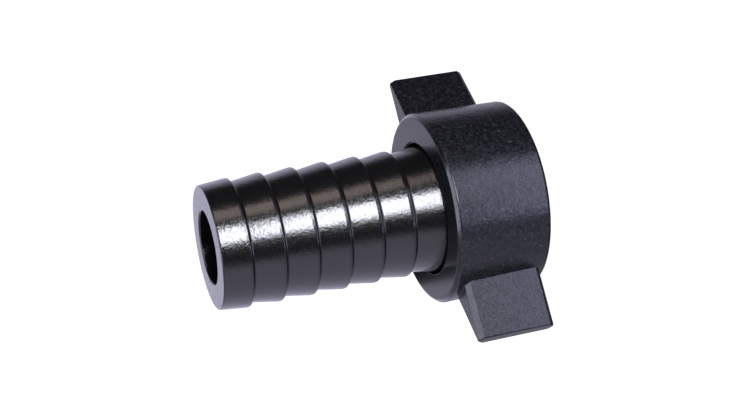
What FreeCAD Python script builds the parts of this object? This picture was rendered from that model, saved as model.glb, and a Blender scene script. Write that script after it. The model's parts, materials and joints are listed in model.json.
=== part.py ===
import FreeCAD, Part
import math
import os

Vector = FreeCAD.Vector

# A hose tail with a winged swivel nut, standing on the nut's open rim.
# Millimetres. Z is the axis of the bore, the tail points up, the wings lie along X.

# Hose tail, bore outwards
bore_r = 7.7            # water way, straight through
tail_wall = 4.85        # from the bore to the valleys between the barbs
barb_rise = 0.95        # crest above valley
barb_count = 6
barb_pitch = 6.9
barb_land = 0.8         # short straight crest beside each shoulder
tip_barb_length = 6.2   # tip face to the first shoulder
tip_drop = 0.55         # the tip's edge below the crests
neck_length = 6.3       # last shoulder to the nut's back face
tip_bevel = 0.2
bore_bevel = 0.35

# Flange inside the nut
flange_catch = 0.8      # how far the flange stands out under the nut's back wall
flange_thickness = 3.4
flange_bevel = 0.3      # on the side that goes in through the thread first

# Inside thread of the nut, one inch pipe, plain here at the foot of its grooves
thread_r = 16.625
thread_depth = 1.48
thread_length = 9.8     # open rim to the ring that ends the thread
lead_in = 0.9           # bevel at the mouth

# Ring at the end of the thread, which keeps the washer in
ring_height = 1.0
ring_slope = 0.7

# Sealing washer
washer_width = 6.4      # from its hole to its rim
washer_thickness = 2.5
washer_catch = 0.75     # how far the washer lies over the ring

# Swivel nut
nut_wall = 3.875        # outside the thread, at the back edge
nut_draft = 0.3         # the rim is this much smaller in radius than the back edge
back_wall = 3.8
end_play = 0.3          # flange to back wall
pass_gap = 0.7          # barb crests through the hole in the back wall
neck_gap = 0.35         # neck in that hole
chamber_gap = 0.4       # around the washer and the flange
rim_bevel = 0.7
back_bevel = 0.65
hole_bevel = 0.35

# Wings
wing_reach = 11.4       # out from the nut's back edge
wing_root = 7.9         # thickness where a wing meets the nut
wing_tip = 2.6
wing_back_inset = 2.3   # from the nut's back face
wing_rim_inset = 1.6    # from its open rim
wing_bury = 2.0         # how deep a wing's root runs into the nut's wall
wing_round = 1.1        # where a wing's sides meet its ends
wing_tip_bevel = 0.35
wing_fillet = 0.6       # where a wing meets the nut
wing_count = 2

same_place = 0.01       # points closer than this lie in one place

# Radii that follow
valley_r = bore_r + tail_wall
crest_r = valley_r + barb_rise
tip_r = crest_r - tip_drop
hole_r = crest_r + pass_gap
neck_r = hole_r - neck_gap
flange_r = hole_r + flange_catch
thread_crest_r = thread_r - thread_depth
washer_r = thread_crest_r + washer_catch
washer_hole_r = washer_r - washer_width
chamber_r = max(washer_r, flange_r) + chamber_gap
nut_r = thread_r + nut_wall
rim_r = nut_r - nut_draft

# Heights that follow, from the open rim up
ring_top = thread_length + ring_height
washer_top = ring_top + washer_thickness
flange_top = washer_top + flange_thickness
shoulder_z = flange_top + end_play
nut_height = shoulder_z + back_wall
last_barb_z = nut_height + neck_length
first_barb_z = last_barb_z + (barb_count - 1) * barb_pitch
taper_length = (barb_pitch - barb_land) * (neck_r - valley_r) / barb_rise    # from there down to the neck
neck_top = last_barb_z - taper_length
tip_z = first_barb_z + tip_barb_length


def corner(radius, height, bevel=0):
    """One corner of a turned outline, and how much a bevel cuts off it."""
    return Vector(radius, 0, height), bevel


def turned(corners):
    """A solid of revolution about Z, its outline running from corner to corner."""
    outline = []
    for i, (at, bevel) in enumerate(corners):
        before = corners[i - 1][0]
        after = corners[(i + 1) % len(corners)][0]
        if bevel:
            outline += [at + (before - at).normalize() * bevel, at + (after - at).normalize() * bevel]
        else:
            outline.append(at)
    face = Part.Face(Part.makePolygon(outline + outline[:1]))
    return face.revolve(Vector(0, 0, 0), Vector(0, 0, 1), 360)


def make_hose_tail():
    """One moulding: flange, neck and barbs round a straight bore."""
    corners = [
        corner(bore_r, washer_top, bevel=bore_bevel),
        corner(flange_r, washer_top),
        corner(flange_r, flange_top, bevel=flange_bevel),
        corner(neck_r, flange_top),
        corner(neck_r, neck_top),
    ]
    for barb in range(barb_count):
        shoulder = last_barb_z + barb * barb_pitch
        corners += [
            corner(valley_r, shoulder),
            corner(crest_r, shoulder),
            corner(crest_r, shoulder + barb_land),
        ]
    corners += [corner(tip_r, tip_z, bevel=tip_bevel), corner(bore_r, tip_z, bevel=bore_bevel)]
    return turned(corners)


def make_washer():
    """Flat rubber washer between the ring in the nut and the tail's flange."""
    return turned([
        corner(washer_hole_r, ring_top),
        corner(washer_r, ring_top),
        corner(washer_r, washer_top),
        corner(washer_hole_r, washer_top),
    ])


def make_barrel():
    """The nut without its wings: back wall, chamber, ring and threaded socket."""
    return turned([
        corner(thread_r + lead_in, 0),
        corner(rim_r, 0, bevel=rim_bevel),
        corner(nut_r, nut_height, bevel=back_bevel),
        corner(hole_r, nut_height, bevel=hole_bevel),
        corner(hole_r, shoulder_z, bevel=hole_bevel),
        corner(chamber_r, shoulder_z),
        corner(chamber_r, ring_top),
        corner(thread_crest_r, ring_top),
        corner(thread_crest_r, thread_length + ring_slope),
        corner(thread_r, thread_length),
        corner(thread_r, lead_in),
    ])


def make_wing():
    """A straight wedge along +X, its root inside the nut's wall."""
    taper = (wing_root - wing_tip) / 2 / wing_reach
    root_x = nut_r - wing_bury
    tip_x = nut_r + wing_reach
    bevel_x = tip_x - wing_tip_bevel
    tip_half = wing_tip / 2 - wing_tip_bevel
    half = [(root_x, wing_tip / 2 + taper * (tip_x - root_x)), (bevel_x, wing_tip / 2), (tip_x, tip_half)]
    outline = half + [(x, -y) for x, y in reversed(half)]
    corners = [Vector(x, y, wing_rim_inset) for x, y in outline]
    length = nut_height - wing_rim_inset - wing_back_inset
    wedge = Part.Face(Part.makePolygon(corners + corners[:1])).extrude(Vector(0, 0, length))
    return wedge.makeFillet(wing_round, [edge for edge in wedge.Edges if edge_runs(edge, root_x, bevel_x)])


def edge_runs(edge, root_x, end_x):
    """Whether an edge runs along a sloping side of a wing, from its root to its tip."""
    box = edge.BoundBox
    return abs(box.XMin - root_x) < same_place and abs(box.XMax - end_x) < same_place


def meets_nut(edge):
    """Whether an edge lies where a wing comes out of the nut's outside."""
    middle = edge.valueAt((edge.FirstParameter + edge.LastParameter) / 2)
    outside_r = rim_r + nut_draft * middle.z / nut_height
    on_outside = abs(math.hypot(middle.x, middle.y) - outside_r) < same_place
    return on_outside and abs(middle.y) < wing_root and abs(middle.x) > wing_root


def make_wing_nut():
    """Barrel and wings as one moulding, with a fillet around each wing's root."""
    wings = []
    for i in range(wing_count):
        wing = make_wing()
        wing.rotate(Vector(0, 0, 0), Vector(0, 0, 1), i * 360 / wing_count)
        wings.append(wing)
    nut = make_barrel().fuse(wings).removeSplitter()
    return nut.makeFillet(wing_fillet, [edge for edge in nut.Edges if meets_nut(edge)])


def save(shape, name):
    shape.exportStep(f"parts/{name}.step")
    state = "valid" if shape.isValid() else "NOT VALID"
    print(name, state, len(shape.Solids), "solid", round(shape.Volume, 1))


os.makedirs("parts", exist_ok=True)
save(make_hose_tail(), "hose_tail")
save(make_wing_nut(), "wing_nut")
save(make_washer(), "sealing_washer")
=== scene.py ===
import json
import math

import bmesh
import bpy
from mathutils import Matrix, Vector


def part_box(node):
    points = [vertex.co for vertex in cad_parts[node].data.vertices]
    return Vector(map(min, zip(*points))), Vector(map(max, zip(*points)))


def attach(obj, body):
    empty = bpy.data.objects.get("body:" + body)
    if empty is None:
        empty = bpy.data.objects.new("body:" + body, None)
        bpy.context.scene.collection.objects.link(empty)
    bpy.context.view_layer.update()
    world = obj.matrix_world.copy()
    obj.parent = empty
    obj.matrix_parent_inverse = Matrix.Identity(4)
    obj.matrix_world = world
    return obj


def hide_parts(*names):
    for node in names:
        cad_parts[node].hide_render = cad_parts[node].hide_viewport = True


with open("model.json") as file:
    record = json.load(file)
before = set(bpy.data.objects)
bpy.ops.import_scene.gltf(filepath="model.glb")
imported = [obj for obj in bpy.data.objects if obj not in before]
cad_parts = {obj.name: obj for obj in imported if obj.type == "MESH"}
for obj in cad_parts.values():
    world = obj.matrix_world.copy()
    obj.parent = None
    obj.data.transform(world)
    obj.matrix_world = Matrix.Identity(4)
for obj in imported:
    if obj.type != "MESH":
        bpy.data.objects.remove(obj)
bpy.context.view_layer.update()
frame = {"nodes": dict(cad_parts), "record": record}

mm = 0.001
scene = bpy.context.scene
scene.view_settings.view_transform = "Standard"


# Camera
# It looks a little down on the fitting as it stands, across the wing on its left, and is
# turned about its own axis so that the tail points to the left of the picture.
camera_turn = math.radians(25.2)    # from straight in front towards the left wing
camera_reach = 291.5 * mm           # level, from the bore's axis
camera_height = 120.0 * mm
camera_roll = math.radians(-100.12)
aim = Vector((2.36, -1.12, 31.04)) * mm
to_camera = Vector((-math.sin(camera_turn), -math.cos(camera_turn), 0))
camera_place = to_camera * camera_reach + Vector((0, 0, camera_height))
camera_data = bpy.data.cameras.new("camera")
camera_data.sensor_width = 36
camera_data.lens = 69.1
camera_data.clip_start = 10 * mm
camera = bpy.data.objects.new("camera", camera_data)
look = (aim - camera_place).to_track_quat("-Z", "Y").to_matrix().to_4x4()
rolled = Matrix.Rotation(camera_roll, 4, "Z")
camera.matrix_world = Matrix.Translation(camera_place) @ look @ rolled
scene.collection.objects.link(camera)
scene.camera = camera


# Surround
# A cool white sweep behind the fitting and to its left, and a dark side to its right, which
# the gloss of the black plastic shows. The camera itself sees plain white.
cool_white = (0.99, 0.97, 1.24, 1)
shade = (0.02, 0.018, 0.016, 1)
sweep_stops = [                     # degrees round from the camera to its right, and the colour
    (-180, cool_white), (-48, cool_white), (-34, shade),
    (118, shade), (136, cool_white), (180, cool_white)]
level_stops = [                     # sine of the height above level, and the strength there
    (-0.75, 0.1), (-0.15, 1), (0.17, 1.2), (0.31, 0.65)]


def fill_ramp(node, stops):
    """Give a colour ramp its stops, each a position from 0 to 1 and a colour."""
    elements = node.color_ramp.elements
    while len(elements) > 1:
        elements.remove(elements[-1])
    elements[0].position, elements[0].color = stops[0]
    for position, colour in stops[1:]:
        elements.new(position).color = colour


world = bpy.data.worlds.new("surround")
scene.world = world
world.use_nodes = True
nodes, links = world.node_tree.nodes, world.node_tree.links
nodes.clear()
place = nodes.new("ShaderNodeTexCoord")
turn = nodes.new("ShaderNodeMapping")
turn.vector_type = "VECTOR"
turn.inputs["Rotation"].default_value[2] = -math.atan2(to_camera.y, to_camera.x)
around = nodes.new("ShaderNodeTexGradient")
around.gradient_type = "RADIAL"
sweep = nodes.new("ShaderNodeValToRGB")
fill_ramp(sweep, [(degrees / 360 + 0.5, colour) for degrees, colour in sweep_stops])
parts = nodes.new("ShaderNodeSeparateXYZ")
height = nodes.new("ShaderNodeMapRange")
height.inputs["From Min"].default_value = -1
level = nodes.new("ShaderNodeValToRGB")
fill_ramp(level, [(sine / 2 + 0.5, (strength, strength, strength, 1))
                  for sine, strength in level_stops])
lit = nodes.new("ShaderNodeBackground")
shown = nodes.new("ShaderNodeBackground")
shown.inputs["Color"].default_value = (1, 1, 1, 1)
seen = nodes.new("ShaderNodeLightPath")
mixed = nodes.new("ShaderNodeMixShader")
output = nodes.new("ShaderNodeOutputWorld")
links.new(place.outputs["Generated"], turn.inputs["Vector"])
links.new(turn.outputs["Vector"], around.inputs["Vector"])
links.new(around.outputs["Fac"], sweep.inputs["Fac"])
links.new(sweep.outputs["Color"], lit.inputs["Color"])
links.new(place.outputs["Generated"], parts.inputs["Vector"])
links.new(parts.outputs["Z"], height.inputs["Value"])
links.new(height.outputs["Result"], level.inputs["Fac"])
links.new(level.outputs["Color"], lit.inputs["Strength"])
links.new(seen.outputs["Is Camera Ray"], mixed.inputs["Fac"])
links.new(lit.outputs["Background"], mixed.inputs[1])
links.new(shown.outputs["Background"], mixed.inputs[2])
links.new(mixed.outputs["Shader"], output.inputs["Surface"])


# Floor
# A plain white sheet of paper under the nut's rim, which keeps the fitting's soft shadow. It
# is clear from below, and to gloss and lamplight, so that the low lamp reaches the fitting.
floor_size = 6.0
floor_drop = 0.02 * mm              # below the rim, so that the two don't share a plane
floor_mesh = bpy.data.meshes.new("floor")
bm = bmesh.new()
bmesh.ops.create_grid(bm, x_segments=1, y_segments=1, size=floor_size)
bmesh.ops.translate(bm, verts=bm.verts, vec=(0, 0, -floor_drop))
bm.to_mesh(floor_mesh)
bm.free()
floor = bpy.data.objects.new("floor", floor_mesh)
scene.collection.objects.link(floor)
floor_paper = bpy.data.materials.new("floor_paper")
floor_paper.use_nodes = True
nodes, links = floor_paper.node_tree.nodes, floor_paper.node_tree.links
nodes.clear()
paper = nodes.new("ShaderNodeBsdfDiffuse")      # lights the fitting from below
paper.inputs["Color"].default_value = (0.62, 0.63, 0.70, 1)
pale = nodes.new("ShaderNodeBsdfDiffuse")       # what the camera sees, with the shadow on it
pale.inputs["Color"].default_value = (0.3, 0.3, 0.3, 1)
glow = nodes.new("ShaderNodeEmission")
glow.inputs["Strength"].default_value = 0.93
bright = nodes.new("ShaderNodeAddShader")
mixed = nodes.new("ShaderNodeMixShader")
clear = nodes.new("ShaderNodeBsdfTransparent")
seen = nodes.new("ShaderNodeLightPath")
below = nodes.new("ShaderNodeNewGeometry")
passing = nodes.new("ShaderNodeMath")
passing.operation = "MAXIMUM"
either = nodes.new("ShaderNodeMath")
either.operation = "MAXIMUM"
through = nodes.new("ShaderNodeMixShader")
output = nodes.new("ShaderNodeOutputMaterial")
links.new(pale.outputs["BSDF"], bright.inputs[0])
links.new(glow.outputs["Emission"], bright.inputs[1])
links.new(seen.outputs["Is Camera Ray"], mixed.inputs["Fac"])
links.new(paper.outputs["BSDF"], mixed.inputs[1])
links.new(bright.outputs["Shader"], mixed.inputs[2])
links.new(seen.outputs["Is Glossy Ray"], passing.inputs[0])
links.new(seen.outputs["Is Shadow Ray"], passing.inputs[1])
links.new(passing.outputs["Value"], either.inputs[0])
links.new(below.outputs["Backfacing"], either.inputs[1])
links.new(either.outputs["Value"], through.inputs["Fac"])
links.new(mixed.outputs["Shader"], through.inputs[1])
links.new(clear.outputs["BSDF"], through.inputs[2])
links.new(through.outputs["Shader"], output.inputs["Surface"])
floor_mesh.materials.append(floor_paper)


# Lamps
# Four softboxes that the black plastic mirrors: the key is the bright stripe down the barbs,
# the warm one a dim glow beside it, the low one the broad highlight on the nut's barrel, and
# the top one the light line round the nut's back edge. A black card stands behind as painted
# shade: seen only in the gloss of the nut's back face, it stands in for the fitting's shadow
# there.
lamp_middle = Vector((0, 0, 30 * mm))
shade_card_width = 33 * mm
shade_card_height = 32 * mm
shade_card_middle = (-2.7 * mm, 60 * mm, 44 * mm)     # before it is turned to face the camera


def softbox(name, turn, rise, distance, width, height, colour, radiance, roll=0):
    """A lamp facing the fitting. Its angles are in degrees, with turn to the camera's right."""
    data = bpy.data.lights.new(name, "AREA")
    data.shape = "RECTANGLE"
    data.size, data.size_y = width, height
    data.color = colour
    data.energy = radiance * math.pi * width * height
    lamp = bpy.data.objects.new(name, data)
    level = Matrix.Rotation(math.radians(turn), 3, "Z") @ to_camera
    rise = math.radians(rise)
    toward = level * math.cos(rise) + Vector((0, 0, math.sin(rise)))
    face = (-toward).to_track_quat("-Z", "Y").to_matrix().to_4x4()
    rolled = Matrix.Rotation(math.radians(roll), 4, "Z")
    lamp.matrix_world = Matrix.Translation(lamp_middle + toward * distance) @ face @ rolled
    lamp.visible_camera = False
    scene.collection.objects.link(lamp)


softbox("key_strip", turn=13.5, rise=2.5, distance=300 * mm, width=140 * mm,
        height=112 * mm, colour=(0.94, 0.95, 1.05), radiance=28, roll=-14)
softbox("warm_sheet", turn=53, rise=9, distance=400 * mm, width=130 * mm,
        height=200 * mm, colour=(1.15, 0.95, 0.88), radiance=2.6)
softbox("low_sheet", turn=5, rise=-33, distance=300 * mm, width=330 * mm,
        height=85 * mm, colour=(0.84, 0.88, 1.25), radiance=4.8)
softbox("top_sheet", turn=8, rise=71, distance=260 * mm, width=240 * mm,
        height=120 * mm, colour=(0.92, 0.94, 1.16), radiance=6)

# Painted shade: a black card seen only in the gloss of the nut's back face, standing in for the
# fitting's shadow behind it.
shade_card_mesh = bpy.data.meshes.new("shade_card")     # seen only in the gloss of the nut's back face
bm = bmesh.new()
bmesh.ops.create_grid(bm, x_segments=1, y_segments=1, size=0.5)
bmesh.ops.scale(bm, verts=bm.verts, vec=(shade_card_width, shade_card_height, 1))
bmesh.ops.rotate(bm, verts=bm.verts, cent=(0, 0, 0),
                 matrix=Matrix.Rotation(math.pi / 2, 3, "X"))
bmesh.ops.translate(bm, verts=bm.verts, vec=shade_card_middle)
bmesh.ops.rotate(bm, verts=bm.verts, cent=(0, 0, 0),
                 matrix=Matrix.Rotation(-camera_turn, 3, "Z"))
bm.to_mesh(shade_card_mesh)
bm.free()
shade_card = bpy.data.objects.new("shade_card", shade_card_mesh)
shade_card.visible_camera = False
shade_card.visible_shadow = False
shade_card.visible_diffuse = False
scene.collection.objects.link(shade_card)
# The card's near-black colour is the painted shade.
shade_card_black = bpy.data.materials.new("shade_card_black")
shade_card_black.use_nodes = True
shade_card_shader = shade_card_black.node_tree.nodes["Principled BSDF"]
shade_card_shader.inputs["Base Color"].default_value = (0.01, 0.01, 0.01, 1)
shade_card_shader.inputs["Specular IOR Level"].default_value = 0
shade_card_mesh.materials.append(shade_card_black)


# Hose tail
# One glossy black moulding: a straight water way, six ratchet barbs for the hose, a plain
# neck that the nut turns on, and a flange inside the nut that holds the two together.
mounts = {mount["name"]: mount for mount in frame["record"]["mounts"]}
tail_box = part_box("hose_tail")
bore_r = mounts["water_bore"]["dims"]["r_mm"] * mm
crest_r = mounts["hose_barbs"]["dims"]["r_mm"] * mm
barb_count = 6
barb_pitch = 6.9 * mm
barb_rise = 0.95 * mm
barb_land = 0.8 * mm                # short straight crest beside each shoulder
tip_barb_length = 6.2 * mm
tip_drop = 0.55 * mm                # the tip's edge below the crests
pass_gap = 0.7 * mm                 # barb crests through the hole in the nut
neck_gap = 0.35 * mm                # neck in that hole
flange_thickness = 3.4 * mm
flange_r = 15.0 * mm
edge_round = 0.3 * mm               # outside corners of the tail
foot_round = 0.55 * mm              # inside corner under each shoulder
mouth_round = 0.35 * mm             # both ends of the bore
valley_r = crest_r - barb_rise
hole_r = crest_r + pass_gap
neck_r = hole_r - neck_gap
tip_z = tail_box[1].z
flange_z = tail_box[0].z
flange_top = flange_z + flange_thickness
first_shoulder = tip_z - tip_barb_length
last_shoulder = first_shoulder - (barb_count - 1) * barb_pitch
taper_length = (barb_pitch - barb_land) * (neck_r - valley_r) / barb_rise
spin_steps = 144
round_steps = 4
shade_ring = 0.06 * mm              # a ring this near each end of a run keeps its gloss even
ringed_run = 8 * shade_ring         # the shortest run that gets such rings
merge_gap = 0.001 * mm              # points nearer than this become one
sharp_angle = math.radians(35)      # an edge sharper than this isn't shaded smooth
noise_low, noise_high = 0.3, 0.7    # nearly all of a noise lies between these


def turned(corners, steps):
    """Spin an outline about the bore's axis. Each corner is a radius, a height and a rounding."""
    bm = bmesh.new()
    verts = [bm.verts.new((radius, 0, height)) for radius, height, _ in corners]
    for here, there in zip(verts, verts[1:] + verts[:1]):
        bm.edges.new((here, there))
    for vert, (_, _, rounding) in zip(verts, corners):
        if rounding:
            bmesh.ops.bevel(bm, geom=[vert], offset=rounding, offset_type="OFFSET",
                            segments=round_steps, profile=0.5, affect="VERTICES", material=-1)
    for run in [edge for edge in bm.edges if edge.calc_length() > ringed_run]:
        for end in run.verts[:]:
            bmesh.utils.edge_split(run, end, shade_ring / run.calc_length())
    bmesh.ops.spin(bm, geom=bm.verts[:] + bm.edges[:], cent=(0, 0, 0), axis=(0, 0, 1),
                   dvec=(0, 0, 0), angle=2 * math.pi, steps=steps, use_merge=True)
    bmesh.ops.remove_doubles(bm, verts=bm.verts, dist=merge_gap)
    bmesh.ops.recalc_face_normals(bm, faces=bm.faces)
    return bm


def piece(name, bm, body, slot, material, *cad_nodes):
    """Make a finished bmesh an object on its body, smooth but for its sharp corners."""
    mesh = bpy.data.meshes.new(name)
    bm.to_mesh(mesh)
    bm.free()
    mesh.shade_smooth()
    mesh.set_sharp_from_angle(angle=sharp_angle)
    mesh.materials.append(material)
    obj = bpy.data.objects.new(name, mesh)
    even = obj.modifiers.new("even_shading", "WEIGHTED_NORMAL")
    even.keep_sharp = True
    scene.collection.objects.link(obj)
    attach(obj, body)
    if cad_nodes:
        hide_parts(*cad_nodes)


def plastic(name, colour, roughness, spread, specular, grain_size, grain_depth, wave_size,
            wave_depth):
    """Moulded plastic or rubber: a slow waviness under a fine grain that varies its gloss."""
    material = bpy.data.materials.new(name)
    material.use_nodes = True
    nodes, links = material.node_tree.nodes, material.node_tree.links
    shader = nodes["Principled BSDF"]
    shader.inputs["Base Color"].default_value = (*colour, 1)
    shader.inputs["Specular IOR Level"].default_value = specular
    place = nodes.new("ShaderNodeTexCoord")
    grain = nodes.new("ShaderNodeTexNoise")
    grain.inputs["Scale"].default_value = 1 / grain_size
    grain.inputs["Detail"].default_value = 2
    wave = nodes.new("ShaderNodeTexNoise")
    wave.inputs["Scale"].default_value = 1 / wave_size
    wave.inputs["Detail"].default_value = 2
    slow = nodes.new("ShaderNodeBump")
    slow.inputs["Strength"].default_value = 1
    slow.inputs["Distance"].default_value = wave_depth
    fine = nodes.new("ShaderNodeBump")
    fine.inputs["Strength"].default_value = 1
    fine.inputs["Distance"].default_value = grain_depth
    rough = nodes.new("ShaderNodeMapRange")
    rough.inputs["From Min"].default_value = noise_low
    rough.inputs["From Max"].default_value = noise_high
    rough.inputs["To Min"].default_value = roughness - spread
    rough.inputs["To Max"].default_value = roughness + spread
    links.new(place.outputs["Object"], grain.inputs["Vector"])
    links.new(place.outputs["Object"], wave.inputs["Vector"])
    links.new(wave.outputs["Fac"], slow.inputs["Height"])
    links.new(grain.outputs["Fac"], fine.inputs["Height"])
    links.new(slow.outputs["Normal"], fine.inputs["Normal"])
    links.new(fine.outputs["Normal"], shader.inputs["Normal"])
    links.new(grain.outputs["Fac"], rough.inputs["Value"])
    links.new(rough.outputs["Result"], shader.inputs["Roughness"])
    return material


corners = [
    (bore_r, flange_z, mouth_round), (flange_r, flange_z, 0), (flange_r, flange_top, edge_round),
    (neck_r, flange_top, 0), (neck_r, last_shoulder - taper_length, 0)]
for barb in reversed(range(barb_count)):
    shoulder = first_shoulder - barb * barb_pitch
    corners += [(valley_r, shoulder, foot_round), (crest_r, shoulder, edge_round),
                (crest_r, shoulder + barb_land, 0)]
corners += [(crest_r - tip_drop, tip_z, edge_round), (bore_r, tip_z, mouth_round)]
tail_black = plastic(
    "tail_black", colour=(0.003, 0.003, 0.003), roughness=0.2, spread=0.07, specular=0.6,
    grain_size=0.4 * mm, grain_depth=0.03 * mm, wave_size=1.2 * mm, wave_depth=0.025 * mm)
piece("hose_tail_moulding", turned(corners, spin_steps), "tail", "tail_plastic", tail_black,
      "hose_tail")


# Wing nut
# A satin black moulding that turns freely on the neck: a barrel with an inside pipe thread,
# a back wall with a hole for the tail, and two straight wedge wings to turn it by hand.
nut_box, washer_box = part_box("wing_nut"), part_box("sealing_washer")
nut_height = nut_box[1].z
ring_top, washer_top = washer_box[0].z, washer_box[1].z
socket_r = mounts["thread_socket"]["dims"]["r_mm"] * mm
thread_crest_r = 15.145 * mm
thread_length = 9.8 * mm            # open rim to the ring that ends the thread
lead_in = 0.9 * mm                  # bevel at the mouth
ring_slope = 0.7 * mm
chamber_gap = 0.4 * mm              # around the washer
chamber_r = washer_box[1].x + chamber_gap
end_play = 0.3 * mm                 # flange to back wall
wall_z = washer_top + flange_thickness + end_play
nut_r = 20.5 * mm                   # outside, at the back edge
rim_r = 20.2 * mm                   # outside, at the open rim
rim_round = 0.7 * mm
back_bevel = 0.75 * mm
back_round = 0.15 * mm              # both edges of that bevel
hole_round = 0.35 * mm
wing_count = 2
wing_reach = nut_box[1].x
wing_root = 7.9 * mm                # thickness where a wing meets the barrel
wing_tip = 2.6 * mm
wing_back_inset = 2.3 * mm
wing_rim_inset = 1.6 * mm
wing_bury = 2.0 * mm                # how deep a wing's root runs into the barrel's wall
wing_flat = 1.0 * mm                # bevel along each edge that runs out to the tip
wing_tip_round = 0.25 * mm
wing_fillet = 0.6 * mm
root_angle = math.radians(30)       # the fillet goes where faces meet more sharply than this
root_reach = 0.2 * mm               # and no further inside than this from the rim's radius
same_place = 0.01 * mm              # points nearer than this lie in one place
nut_steps = 80                      # a wing's side then meets the barrel midway between edges


def wing(number):
    """A straight wedge with bevelled edges, its root inside the barrel's wall."""
    bm = bmesh.new()
    slope = (wing_root - wing_tip) / 2 / (wing_reach - nut_r)
    root_x = nut_r - wing_bury
    root_half = wing_tip / 2 + slope * (wing_reach - root_x)
    outline = [(root_x, -root_half), (wing_reach, -wing_tip / 2),
               (wing_reach, wing_tip / 2), (root_x, root_half)]
    base = bm.faces.new([bm.verts.new((x, y, wing_rim_inset)) for x, y in outline])
    raised = bmesh.ops.extrude_face_region(bm, geom=[base])["geom"]
    bmesh.ops.translate(bm, verts=[v for v in raised if isinstance(v, bmesh.types.BMVert)],
                        vec=(0, 0, nut_height - wing_rim_inset - wing_back_inset))
    bmesh.ops.recalc_face_normals(bm, faces=bm.faces)
    long_edges = [e for e in bm.edges if abs(e.verts[0].co.x - e.verts[1].co.x) > same_place]
    bmesh.ops.bevel(bm, geom=long_edges, offset=wing_flat, offset_type="OFFSET", segments=1,
                    profile=0.5, affect="EDGES", material=-1)
    tip_edges = [e for e in bm.edges
                 if all(abs(v.co.x - wing_reach) < same_place for v in e.verts)]
    bmesh.ops.bevel(bm, geom=tip_edges, offset=wing_tip_round, offset_type="OFFSET", segments=3,
                    profile=0.5, affect="EDGES", clamp_overlap=True, material=-1)
    bmesh.ops.rotate(bm, verts=bm.verts, cent=(0, 0, 0),
                     matrix=Matrix.Rotation(number * 2 * math.pi / wing_count, 3, "Z"))
    bmesh.ops.recalc_face_normals(bm, faces=bm.faces)
    return bm


def rough_object(name, bm):
    """An object of a bmesh that is only there to be joined with others."""
    mesh = bpy.data.meshes.new(name)
    bm.to_mesh(mesh)
    bm.free()
    obj = bpy.data.objects.new(name, mesh)
    scene.collection.objects.link(obj)
    return obj


def bloom(material, light, size, specks, speck_size):
    """Cloud the plastic's colour with the pale bloom and specks that a worn moulding has."""
    nodes, links = material.node_tree.nodes, material.node_tree.links
    shader = nodes["Principled BSDF"]
    dark = shader.inputs["Base Color"].default_value[:]
    cloud_start, cloud_full = 0.42, 0.72
    speck_start, speck_full = 0.66, 0.76    # only the peaks of the noise
    place = next(node for node in nodes if node.type == "TEX_COORD")
    cloud = nodes.new("ShaderNodeTexNoise")
    cloud.inputs["Scale"].default_value = 1 / size
    cloud.inputs["Detail"].default_value = 5
    cloud.inputs["Roughness"].default_value = 0.75
    clouded = nodes.new("ShaderNodeValToRGB")
    fill_ramp(clouded, [(cloud_start, dark), (cloud_full, (*light, 1))])
    speck = nodes.new("ShaderNodeTexNoise")
    speck.inputs["Scale"].default_value = 1 / speck_size
    speck.inputs["Detail"].default_value = 1
    speckled = nodes.new("ShaderNodeValToRGB")
    fill_ramp(speckled, [(speck_start, (0, 0, 0, 1)), (speck_full, (*specks, 1))])
    both = nodes.new("ShaderNodeMix")
    both.data_type = "RGBA"
    both.blend_type = "ADD"
    both.inputs["Factor"].default_value = 1
    colour_a, colour_b, sum_colour = both.inputs[6], both.inputs[7], both.outputs[2]
    links.new(place.outputs["Object"], cloud.inputs["Vector"])
    links.new(place.outputs["Object"], speck.inputs["Vector"])
    links.new(cloud.outputs["Fac"], clouded.inputs["Fac"])
    links.new(speck.outputs["Fac"], speckled.inputs["Fac"])
    links.new(clouded.outputs["Color"], colour_a)
    links.new(speckled.outputs["Color"], colour_b)
    links.new(sum_colour, shader.inputs["Base Color"])


def polish_face(material, height, depth, fade, roughness):
    """Make the face at a height smooth and glossy, as the mould's polished end leaves it."""
    nodes, links = material.node_tree.nodes, material.node_tree.links
    place = next(node for node in nodes if node.type == "TEX_COORD")
    bumps = [node for node in nodes if node.type == "BUMP"]
    rough = next(node for node in nodes if node.type == "MAP_RANGE")
    shader = nodes["Principled BSDF"]
    parts = nodes.new("ShaderNodeSeparateXYZ")
    face = nodes.new("ShaderNodeMapRange")
    face.inputs["From Min"].default_value = height - depth - fade
    face.inputs["From Max"].default_value = height - depth
    satin = nodes.new("ShaderNodeMath")
    satin.operation = "SUBTRACT"
    satin.inputs[0].default_value = 1
    gloss = nodes.new("ShaderNodeMix")
    gloss.inputs["B"].default_value = roughness
    links.new(place.outputs["Object"], parts.inputs["Vector"])
    links.new(parts.outputs["Z"], face.inputs["Value"])
    links.new(face.outputs["Result"], satin.inputs[1])
    for bump in bumps:
        links.new(satin.outputs["Value"], bump.inputs["Strength"])
    links.new(face.outputs["Result"], gloss.inputs["Factor"])
    links.new(rough.outputs["Result"], gloss.inputs["A"])
    links.new(gloss.outputs["Result"], shader.inputs["Roughness"])


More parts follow.
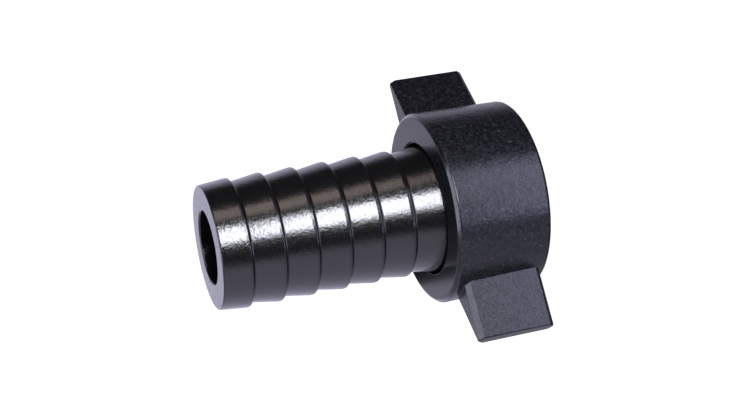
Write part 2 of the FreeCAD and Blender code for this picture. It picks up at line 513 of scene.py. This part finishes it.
barrel = rough_object("barrel", turned([
    (socket_r + lead_in, 0, 0), (rim_r, 0, rim_round),
    (nut_r, nut_height - back_bevel, back_round), (nut_r - back_bevel, nut_height, back_round),
    (hole_r, nut_height, hole_round), (hole_r, wall_z, hole_round),
    (chamber_r, wall_z, 0), (chamber_r, ring_top, 0),
    (thread_crest_r, ring_top, 0), (thread_crest_r, thread_length + ring_slope, 0),
    (socket_r, thread_length, 0), (socket_r, lead_in, 0)], nut_steps))
wings = [rough_object(f"wing_{number}", wing(number)) for number in range(wing_count)]
for wedge in wings:
    union = barrel.modifiers.new(wedge.name, "BOOLEAN")
    union.operation = "UNION"
    union.solver = "EXACT"
    union.object = wedge
bpy.context.view_layer.update()
evaluated = barrel.evaluated_get(bpy.context.evaluated_depsgraph_get())
joined = bpy.data.meshes.new_from_object(evaluated)
for leftover in [barrel, *wings]:
    bpy.data.objects.remove(leftover)
bm = bmesh.new()
bm.from_mesh(joined)
bpy.data.meshes.remove(joined)
bmesh.ops.remove_doubles(bm, verts=bm.verts, dist=merge_gap)
roots = [e for e in bm.edges
         if len(e.link_faces) == 2 and not e.is_convex and e.calc_face_angle() > root_angle
         and all(math.hypot(v.co.x, v.co.y) > rim_r - root_reach for v in e.verts)]
bmesh.ops.bevel(bm, geom=roots, offset=wing_fillet, offset_type="OFFSET", segments=5,
                profile=0.5, affect="EDGES", clamp_overlap=True, material=-1)
nut_black = plastic(
    "nut_black", colour=(0.002, 0.002, 0.003), roughness=0.28, spread=0.06, specular=0.4,
    grain_size=0.5 * mm, grain_depth=0.035 * mm, wave_size=2.6 * mm, wave_depth=0.08 * mm)
bloom(nut_black, light=(0.013, 0.0135, 0.0165), size=0.8 * mm,
      specks=(0.02, 0.021, 0.024), speck_size=0.6 * mm)
polish_face(nut_black, nut_height, depth=0.1 * mm, fade=0.5 * mm, roughness=0.18)
piece("wing_nut_moulding", bm, "nut", "nut_plastic", nut_black, "wing_nut")


# Inside thread
# One inch parallel pipe thread, 11 turns to the inch at 55 degrees, right-handed and moulded
# in one with the nut: a ridge that winds up the socket's wall from the mouth to the ring.
thread_pitch = 25.4 / 11 * mm
ridge_root = 1.924 * mm             # width at the socket's wall
ridge_crest = 0.385 * mm            # width at the top
ridge_rounding = 0.12 * mm
ridge_bury = 0.1 * mm               # how deep it runs into that wall
ridge_start = lead_in
ridge_end = thread_length + 0.6 * ring_slope    # on the ring's slope
wound_before = 1.5 * thread_pitch   # wound from below its start, and cut off level at both ends
extra_turns = 2
steps_per_turn = 96
turns = math.ceil((ridge_end - ridge_start) / thread_pitch) + extra_turns
flank = (ridge_root - ridge_crest) / 2 / (socket_r - thread_crest_r)
bury_half = ridge_root / 2 + ridge_bury * flank
profile = [(socket_r + ridge_bury, bury_half), (thread_crest_r, ridge_crest / 2),
           (thread_crest_r, -ridge_crest / 2), (socket_r + ridge_bury, -bury_half)]
bm = bmesh.new()
verts = [bm.verts.new((radius, 0, ridge_start - wound_before + height))
         for radius, height in profile]
for here, there in zip(verts, verts[1:] + verts[:1]):
    bm.edges.new((here, there))
bmesh.ops.bevel(bm, geom=verts[1:3], offset=ridge_rounding, offset_type="OFFSET", segments=2,
                profile=0.5, affect="VERTICES", material=-1)
bmesh.ops.spin(bm, geom=bm.verts[:] + bm.edges[:], cent=(0, 0, 0), axis=(0, 0, 1),
               dvec=(0, 0, thread_pitch / steps_per_turn), angle=2 * math.pi * turns,
               steps=steps_per_turn * turns)
for height, side in ((ridge_start, -1), (ridge_end, 1)):
    bmesh.ops.bisect_plane(bm, geom=bm.verts[:] + bm.edges[:] + bm.faces[:],
                           plane_co=(0, 0, height), plane_no=(0, 0, side), clear_outer=True)
    bmesh.ops.holes_fill(bm, edges=[e for e in bm.edges if e.is_boundary], sides=0)
bmesh.ops.remove_doubles(bm, verts=bm.verts, dist=merge_gap)
bmesh.ops.recalc_face_normals(bm, faces=bm.faces)
piece("thread_ridge", bm, "nut", "nut_plastic", nut_black)


# Sealing washer
# A flat ring of dull black rubber, which the end of the pipe is screwed up against. It lies
# loose in the nut, between the ring at the thread's end and the tail's flange.
seal_black = plastic(
    "seal_black", colour=(0.02, 0.02, 0.02), roughness=0.7, spread=0.05, specular=0.4,
    grain_size=0.3 * mm, grain_depth=0.01 * mm, wave_size=2 * mm, wave_depth=0.01 * mm)
washer = frame["nodes"]["sealing_washer"]
washer.data.materials.clear()
washer.data.materials.append(seal_black)
